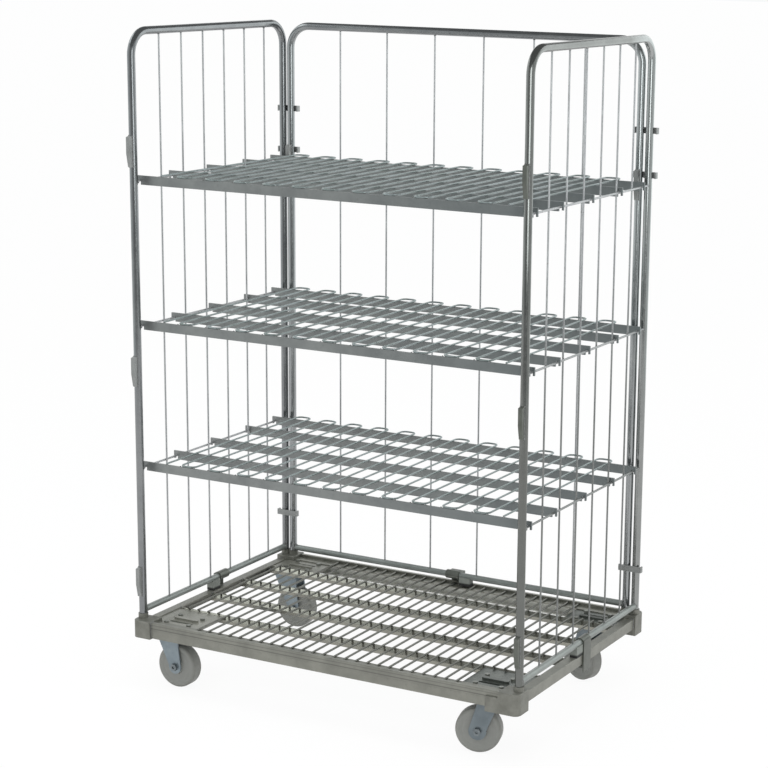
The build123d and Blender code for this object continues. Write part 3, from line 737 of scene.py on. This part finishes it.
def bead_tree(name, along_seam):
    """Geometry nodes that set small weld beads on points, or in a row along edges."""
    tree = bpy.data.node_groups.new(name, "GeometryNodeTree")
    face = tree.interface
    face.new_socket("Geometry", in_out="INPUT", socket_type="NodeSocketGeometry")
    for label in ("Bead Radius", "Bead Pitch", "Variation"):
        face.new_socket(label, in_out="INPUT", socket_type="NodeSocketFloat")
    face.new_socket("Seed", in_out="INPUT", socket_type="NodeSocketInt")
    face.new_socket("Bead Metal", in_out="INPUT", socket_type="NodeSocketMaterial")
    face.new_socket("Geometry", in_out="OUTPUT", socket_type="NodeSocketGeometry")
    given = add(tree, "NodeGroupInput").outputs
    points = given["Geometry"]
    if along_seam:
        run = add(tree, "GeometryNodeMeshToCurve", {"Mesh": points})
        steps = add(
            tree, "GeometryNodeResampleCurve",
            {"Curve": run.outputs["Curve"], "Length": given["Bead Pitch"]}, mode="LENGTH",
        )
        spread = add(
            tree, "GeometryNodeCurveToPoints", {"Curve": steps.outputs["Curve"]}, mode="EVALUATED"
        )
        points = spread.outputs["Points"]
    bead = add(
        tree, "GeometryNodeMeshUVSphere", {"Radius": given["Bead Radius"], "Segments": 8, "Rings": 5}
    )
    round_bead = add(tree, "GeometryNodeSetShadeSmooth", {"Geometry": bead.outputs["Mesh"]})
    smallest = add(tree, "ShaderNodeMath", {0: 1.0, 1: given["Variation"]}, operation="SUBTRACT")
    size = add(
        tree, "FunctionNodeRandomValue",
        {2: smallest.outputs["Value"], 3: 1.0, "Seed": given["Seed"]}, data_type="FLOAT",
    )
    set_on = add(
        tree, "GeometryNodeInstanceOnPoints",
        {"Points": points, "Instance": round_bead.outputs["Geometry"], "Scale": size.outputs[1]},
    )
    real = add(tree, "GeometryNodeRealizeInstances", {"Geometry": set_on.outputs["Instances"]})
    metal = add(
        tree, "GeometryNodeSetMaterial",
        {"Geometry": real.outputs["Geometry"], "Material": given["Bead Metal"]},
    )
    add(tree, "NodeGroupOutput", {"Geometry": metal.outputs["Geometry"]})
    return tree


def weld_piece(name, tree, points, edges, inputs, body, slot):
    """Make one mesh of weld beads that rides on a body."""
    path = bpy.data.meshes.new(name + "_path")
    path.from_pydata(points, edges, [])
    holder = bpy.data.objects.new(name + "_path", path)
    bpy.context.scene.collection.objects.link(holder)
    modifier = holder.modifiers.new("beads", "NODES")
    modifier.node_group = tree
    given = [item for item in tree.interface.items_tree if item.in_out == "INPUT"]
    sockets = {item.name: item.identifier for item in given}
    for label, value in inputs.items():
        modifier[sockets[label]] = value
    ready = holder.evaluated_get(bpy.context.evaluated_depsgraph_get())
    mesh = bpy.data.meshes.new_from_object(ready)
    bpy.data.objects.remove(holder)
    if not mesh.polygons:
        raise RuntimeError("no weld beads in " + name)
    mesh.name = name
    piece = bpy.data.objects.new(name, mesh)
    bpy.context.scene.collection.objects.link(piece)
    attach(piece, body)


def seam_edges(seams):
    """Points and edges of a list of open runs."""
    points = []
    edges = []
    for run in seams:
        first = len(points)
        points.extend(run)
        edges.extend((first + k, first + k + 1) for k in range(len(run) - 1))
    return points, edges


def deck_spots(shelf):
    """Where the bent wire of a shelf crosses its bars."""
    low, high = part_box("shelf_deck_" + shelf)
    bar_low, bar_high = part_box("shelf_bars_" + shelf)
    runs = spaced(low[0] + DECK_R * MM, high[0] - DECK_R * MM, DECK_RUNS)
    bars = [bar_low[1] + (BAR_HALF + step) * MM for step in BAR_STEPS]
    return [(x, y, bar_high[2]) for x in runs for y in bars]


def panel_spots():
    """Where the panels' wires end on tubes and rails, and where shelf supports cross the side wires."""
    ends = []
    crossings = []
    for side, way in zip(SIDES, (-1, 1)):
        low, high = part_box("side_wires_" + side)
        wire_x = (low[0] + high[0]) / 2
        wire_ys = spaced(low[1] + WIRE_R * MM, high[1] - WIRE_R * MM, PANEL_WIRES)
        ends.extend((wire_x, y, z) for y in wire_ys for z in (low[2], high[2]))
        low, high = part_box("shelf_supports_" + side)
        support_x = (low[0] + high[0]) / 2
        touch_x = support_x - way * SUPPORT_R * MM
        for z in spaced(low[2] + SUPPORT_R * MM, high[2] - SUPPORT_R * MM, SHELF_SUPPORTS):
            crossings.extend((touch_x, y, z) for y in wire_ys)
            ends.extend((support_x, y, z) for y in (low[1], high[1]))
    low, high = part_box("back_wires")
    back_y = (low[1] + high[1]) / 2
    for x in spaced(low[0] + WIRE_R * MM, high[0] - WIRE_R * MM, PANEL_WIRES):
        ends.extend((x, back_y, z) for z in (low[2], high[2]))
    return ends, crossings


def floor_spots():
    """Where the floor wires lie on the strips, and on the front and back ledges."""
    low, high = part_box("floor_wires")
    strip_ys = [front + STRIP_LEG / 2 * MM for front in strip_places()]
    ledge_ys = [low[1] + LEDGE_IN * MM, high[1] - LEDGE_IN * MM]
    points = []
    for x in spaced(low[0] + FLOOR_R * MM, high[0] - FLOOR_R * MM, FLOOR_WIRES):
        ys = strip_ys + ledge_ys if abs(x) < LEDGE_REACH * MM else strip_ys
        points.extend((x, y, low[2]) for y in ys)
    return points


def lug_seams(name):
    """Upright seams down both edges of each lug. The back ones stand side by side, one on each post."""
    low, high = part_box(name)
    half = LUG_HEIGHT / 2 * MM
    if name == "back_lugs":
        wide = BACK_LUG_WIDTH * MM
        heights = [low[2] + half]
        edges = (low[0], low[0] + wide, high[0] - wide, high[0])
    else:
        heights = spaced(low[2] + half, high[2] - half, FRONT_LUGS)
        edges = (low[0], high[0])
    y = high[1] + LUG_SEAM_BEHIND * MM
    return [[(x, y, z - half), (x, y, z + half)] for z in heights for x in edges]


def rail_seams(rail, panel_frame, axis):
    """Seams round the fish-mouthed ends of a bottom rail, which runs along one axis between two posts."""
    low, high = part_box(rail)
    middle = [(a + b) / 2 for a, b in zip(low, high)]
    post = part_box(panel_frame)[1][axis] - TUBE_R * MM
    runs = []
    for way in (-1, 1):
        run = []
        for step in range(RAIL_SEAM_STEPS + 1):
            turn = 2 * math.pi * step / RAIL_SEAM_STEPS
            off = RAIL_R * MM * math.cos(turn)
            hollow = math.sqrt((TUBE_R * MM) ** 2 - off ** 2)
            spot = list(middle)
            spot[axis] = way * (post - hollow - POST_SEAM_OFF * MM)
            spot[1 - axis] += off
            spot[2] += RAIL_R * MM * math.sin(turn)
            run.append(tuple(spot))
        runs.append(run)
    return runs


def base_seams(name, axis):
    """Seams at both ends of a base rail, up its outer face and over its lip."""
    low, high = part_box("base_rail_" + name)
    across = 1 - axis
    if name in ("front", "left"):
        outer = low[across]
        lip = outer + BASE_SEAM_LIP * MM
    else:
        outer = high[across]
        lip = outer - BASE_SEAM_LIP * MM
    runs = []
    for end in (low[axis], high[axis]):
        run = []
        for place, z in ((outer, low[2] + BASE_SEAM_FOOT * MM), (outer, high[2]), (lip, high[2])):
            spot = [0, 0, z]
            spot[axis] = end
            spot[across] = place
            run.append(tuple(spot))
        runs.append(run)
    return runs


def strip_seams(sizes):
    """Seams over the shoulders and the top of each floor strip, at both its ends."""
    low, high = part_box("floor_strips")
    over = strip_line(sizes)[1:-1]
    runs = []
    for x in (low[0], high[0]):
        for front in strip_places():
            runs.append([(x, front + y, high[2] + z) for y, z in over])
    return runs


class CONTAINER_OT_welds(bpy.types.Operator):
    """Weld spots where wires cross or end, and rippled seams at lugs, rails, sockets and floor strips"""

    bl_idname = "roll_container.welds"
    bl_label = "Welds"

    def execute(self, context):
        tone = context.scene.container_finish
        weld = context.scene.container_welds

        # Weld metal plated with the rest: small soft glints, mottled by dark scale
        metal = plated_zinc("plated_weld_bead", tone, "weld", rough=0.4, metal=0.6, **WELD_ZINC)
        spots = bead_tree("weld_spots", False)
        seams = bead_tree("weld_seams", True)
        shared = {
            "Bead Pitch": weld.seam_pitch, "Variation": weld.variation,
            "Seed": weld.seed, "Bead Metal": metal,
        }
        crossing = {"Bead Radius": weld.spot_radius, **shared}
        ending = {"Bead Radius": weld.end_radius, **shared}
        along = {"Bead Radius": weld.seam_radius, **shared}

        for name in SHELVES:
            points = deck_spots(name)
            weld_piece("deck_welds_" + name, spots, points, [], crossing, "shelf_" + name, "panel_zinc")
        ends, crossings = panel_spots()
        weld_piece("panel_wire_end_welds", spots, ends, [], ending, "base", "panel_zinc")
        weld_piece("support_crossing_welds", spots, crossings, [], crossing, "base", "panel_zinc")
        weld_piece("floor_wire_welds", spots, floor_spots(), [], crossing, "base", "base_zinc")

        runs = []
        for name in both("front_lugs") + ["back_lugs"]:
            runs += lug_seams(name)
        for side in SIDES:
            runs += rail_seams("side_rail_" + side, "side_frame_" + side, 1)
        runs += rail_seams("back_rail", "back_frame", 0)
        weld_piece("panel_weld_seams", seams, *seam_edges(runs), along, "base", "panel_zinc")

        runs = []
        for name in ENDS:
            runs += base_seams(name, 0)
        for name in SIDES:
            runs += base_seams(name, 1)
        runs += strip_seams(context.scene.container_strips)
        weld_piece("base_weld_seams", seams, *seam_edges(runs), along, "base", "base_zinc")
        return {"FINISHED"}


# Panels of a round wall and a strip light that only reflections show: radius in metres, bearings in degrees
# rightwards from the camera's side, heights in metres, and how brightly each shines
WALL_RADIUS = 3.4
WALL_LOW = 0.3
WALL_TOP = 3.4
WALL_PANELS = (
    ("wall_back_left", WALL_RADIUS, -150, -90, WALL_LOW, WALL_TOP, 1.2),
    ("wall_left", WALL_RADIUS, -90, -60, WALL_LOW, WALL_TOP, 0.9),
    ("wall_front_left", WALL_RADIUS, -60, -35, WALL_LOW, WALL_TOP, 0.55),
    ("wall_beside_camera", WALL_RADIUS, -35, 38, WALL_LOW, WALL_TOP, 0.32),
    ("wall_right", WALL_RADIUS, 38, 100, WALL_LOW, WALL_TOP, 0.8),
    ("wall_back_right", WALL_RADIUS, 100, 150, WALL_LOW, WALL_TOP, 1.6),
    ("strip_light", 1.9, 4, 27, 1.12, 2.4, 3.4),
)

# A round ceiling and, just under it on the left, panels where the strips' shoulders look: the ceiling's
# brightness and sides, the panels' drop, then each panel's x and y reach in metres and its brightness
CEILING_LEVEL = 0.22
CEILING_SIDES = 36
OVERHEAD_DROP = 0.01
OVERHEAD_PANELS = (
    ("overhead_left", -3.0, -2.02, -1.7, 0.3, 2.6),
    ("overhead_middle", -2.02, -1.5, -1.7, 0.3, 0.8),
)

# Soft boxes: place, target, width and height in metres
TOP_BOX = ((0.6, -1.2, 4.2), (0, 0, 0.9), 3.2, 2.6)
FRONT_BOX = ((3.2, -4.2, 2.6), (0, 0, 0.7), 1.6, 1.6)

# Floor: reach from the middle in metres, and the share of plain white that camera and reflections see
FLOOR_REACH = 60.0
FLOOR_GLOW = 0.93

# Width of the photograph's frame in pixels, and of the camera's sensor in millimetres
FRAME_PX = 768
SENSOR_MM = 36.0


def card(name, points, faces, material, mirrored_only=True):
    """A stage card, by default seen only in reflections."""
    mesh = bpy.data.meshes.new(name)
    mesh.from_pydata(points, [], faces)
    mesh.materials.append(material)
    made = bpy.data.objects.new(name, mesh)
    bpy.context.scene.collection.objects.link(made)
    if mirrored_only:
        for ray in ("camera", "diffuse", "shadow", "transmission", "volume_scatter"):
            setattr(made, "visible_" + ray, False)


def glow_paint(name, tint, strength):
    """A stage material that shines by itself."""
    made, tree = new_material(name)
    shine = add(tree, "ShaderNodeEmission", {"Color": rgba(tint), "Strength": strength})
    add(tree, "ShaderNodeOutputMaterial", {"Surface": shine.outputs["Emission"]})
    return made


def floor_paint(tint):
    """Matt floor paint that camera and reflections see as nearly plain white, with a faint shadow."""
    made, tree = new_material("pale_floor_paint")
    path = add(tree, "ShaderNodeLightPath").outputs
    seen = add(
        tree, "ShaderNodeMath", {0: path["Is Camera Ray"], 1: path["Is Glossy Ray"]}, operation="MAXIMUM"
    )
    shown = add(
        tree, "ShaderNodeMath",
        {0: seen.outputs["Value"], 1: path["Is Transmission Ray"]}, operation="MAXIMUM",
    )
    share = add(tree, "ShaderNodeMath", {0: shown.outputs["Value"], 1: FLOOR_GLOW}, operation="MULTIPLY")
    paint = add(tree, "ShaderNodeBsdfDiffuse", {"Color": rgba(tint)})
    glow = add(tree, "ShaderNodeEmission", {"Color": (1, 1, 1, 1), "Strength": 1.0})
    mixed = add(
        tree, "ShaderNodeMixShader",
        {0: share.outputs["Value"], 1: paint.outputs["BSDF"], 2: glow.outputs["Emission"]},
    )
    add(tree, "ShaderNodeOutputMaterial", {"Surface": mixed.outputs["Shader"]})
    return made


def curved_wall(name, radius, from_deg, to_deg, z0, z1, material):
    """An upright card bent round the object, its angles measured rightwards from the side at -Y."""
    count = max(1, round((to_deg - from_deg) / 10))
    turns = [math.radians(t) for t in spaced(from_deg, to_deg, count + 1)]
    points = [(radius * math.sin(t), -radius * math.cos(t), z) for t in turns for z in (z0, z1)]
    faces = [(2 * k, 2 * k + 2, 2 * k + 3, 2 * k + 1) for k in range(count)]
    card(name, points, faces, material)


def soft_box(name, watts, place, target, width, height):
    """A rectangular lamp aimed at a point, which lights surfaces but isn't mirrored in them."""
    data = bpy.data.lights.new(name, "AREA")
    data.shape = "RECTANGLE"
    data.size = width
    data.size_y = height
    data.energy = watts
    made = bpy.data.objects.new(name, data)
    made.location = place
    aim = Vector(target) - Vector(place)
    made.rotation_euler = aim.to_track_quat("-Z", "Y").to_euler()
    made.visible_camera = False
    made.visible_glossy = False
    bpy.context.scene.collection.objects.link(made)


def photo_camera(studio):
    """A camera at the photograph's place, turned, tilted and rolled as it was."""
    data = bpy.data.cameras.new("photo_view")
    data.sensor_fit = "HORIZONTAL"
    data.sensor_width = SENSOR_MM
    data.lens = studio.focal_px / FRAME_PX * SENSOR_MM
    data.shift_x, data.shift_y = studio.shift
    made = bpy.data.objects.new("photo_view", data)
    a, e, r = studio.azimuth, studio.elevation, studio.roll
    ahead = Vector((-math.sin(a) * math.cos(e), math.cos(a) * math.cos(e), -math.sin(e)))
    level = Vector((math.cos(a), math.sin(a), 0))
    upright = level.cross(ahead)
    right = level * math.cos(r) + upright * math.sin(r)
    up = upright * math.cos(r) - level * math.sin(r)
    turn = Matrix((right, up, -ahead)).transposed()
    made.matrix_world = Matrix.Translation(studio.place) @ turn.to_4x4()
    bpy.context.scene.collection.objects.link(made)
    return made


class CONTAINER_OT_stage(bpy.types.Operator):
    """Pale floor, soft boxes, a panelled wall for the reflections, and the camera"""

    bl_idname = "roll_container.stage"
    bl_label = "Stage"

    def execute(self, context):
        scene = context.scene
        studio = scene.container_studio

        far = FLOOR_REACH
        corners = [(-far, -far, 0), (far, -far, 0), (far, far, 0), (-far, far, 0)]
        card("floor", corners, [(0, 1, 2, 3)], floor_paint(studio.floor), mirrored_only=False)

        view = math.degrees(studio.azimuth)
        for name, radius, from_deg, to_deg, z0, z1, level in WALL_PANELS:
            panel = glow_paint(name, studio.wall, level)
            curved_wall(name, radius, view + from_deg, view + to_deg, z0, z1, panel)
        rim = [2 * math.pi * k / CEILING_SIDES for k in range(CEILING_SIDES)]
        corners = [(WALL_RADIUS * math.cos(t), WALL_RADIUS * math.sin(t), WALL_TOP) for t in rim]
        ceiling = glow_paint("studio_ceiling", studio.wall, CEILING_LEVEL)
        card("studio_ceiling", corners, [tuple(reversed(range(CEILING_SIDES)))], ceiling)
        for name, x0, x1, y0, y1, level in OVERHEAD_PANELS:
            z = WALL_TOP - OVERHEAD_DROP
            corners = [(x0, y0, z), (x0, y1, z), (x1, y1, z), (x1, y0, z)]
            card(name, corners, [(0, 1, 2, 3)], glow_paint(name, studio.wall, level))

        world = bpy.data.worlds.new("pale_studio")
        world.use_nodes = True
        tree = world.node_tree
        tree.nodes.clear()
        sky = add(tree, "ShaderNodeBackground", {"Color": rgba(studio.sky), "Strength": 1.0})
        add(tree, "ShaderNodeOutputWorld", {"Surface": sky.outputs["Background"]})
        scene.world = world

        soft_box("top_soft_box", studio.top_power, *TOP_BOX)
        soft_box("front_soft_box", studio.front_power, *FRONT_BOX)
        scene.camera = photo_camera(studio)
        scene.view_settings.view_transform = "Standard"
        return {"FINISHED"}


OPERATORS = (
    CONTAINER_OT_panels,
    CONTAINER_OT_shelves,
    CONTAINER_OT_base,
    CONTAINER_OT_floor_strips,
    CONTAINER_OT_castors,
    CONTAINER_OT_welds,
    CONTAINER_OT_stage,
)


class CONTAINER_PT_sidebar(bpy.types.Panel):
    """Lists the steps that dress the container"""

    bl_idname = "CONTAINER_PT_sidebar"
    bl_label = "Roll Container"
    bl_space_type = "VIEW_3D"
    bl_region_type = "UI"
    bl_category = "Container"

    def draw(self, context):
        for step in OPERATORS:
            self.layout.operator(step.bl_idname)


SETTINGS = {
    "container_finish": ContainerFinish,
    "container_welds": WeldSizes,
    "container_strips": StripSizes,
    "container_studio": StudioSettings,
}


def register():
    for group in SETTINGS.values():
        bpy.utils.register_class(group)
    for key, group in SETTINGS.items():
        setattr(bpy.types.Scene, key, PointerProperty(type=group))
    for step in OPERATORS + (CONTAINER_PT_sidebar,):
        bpy.utils.register_class(step)


def unregister():
    for step in (CONTAINER_PT_sidebar,) + OPERATORS[::-1]:
        bpy.utils.unregister_class(step)
    for key in SETTINGS:
        delattr(bpy.types.Scene, key)
    for group in SETTINGS.values():
        bpy.utils.unregister_class(group)


def main():
    register()
    bpy.ops.roll_container.panels()
    bpy.ops.roll_container.shelves()
    bpy.ops.roll_container.base()
    bpy.ops.roll_container.floor_strips()
    bpy.ops.roll_container.castors()
    bpy.ops.roll_container.welds()
    bpy.ops.roll_container.stage()


if __name__ == "__main__":
    main()
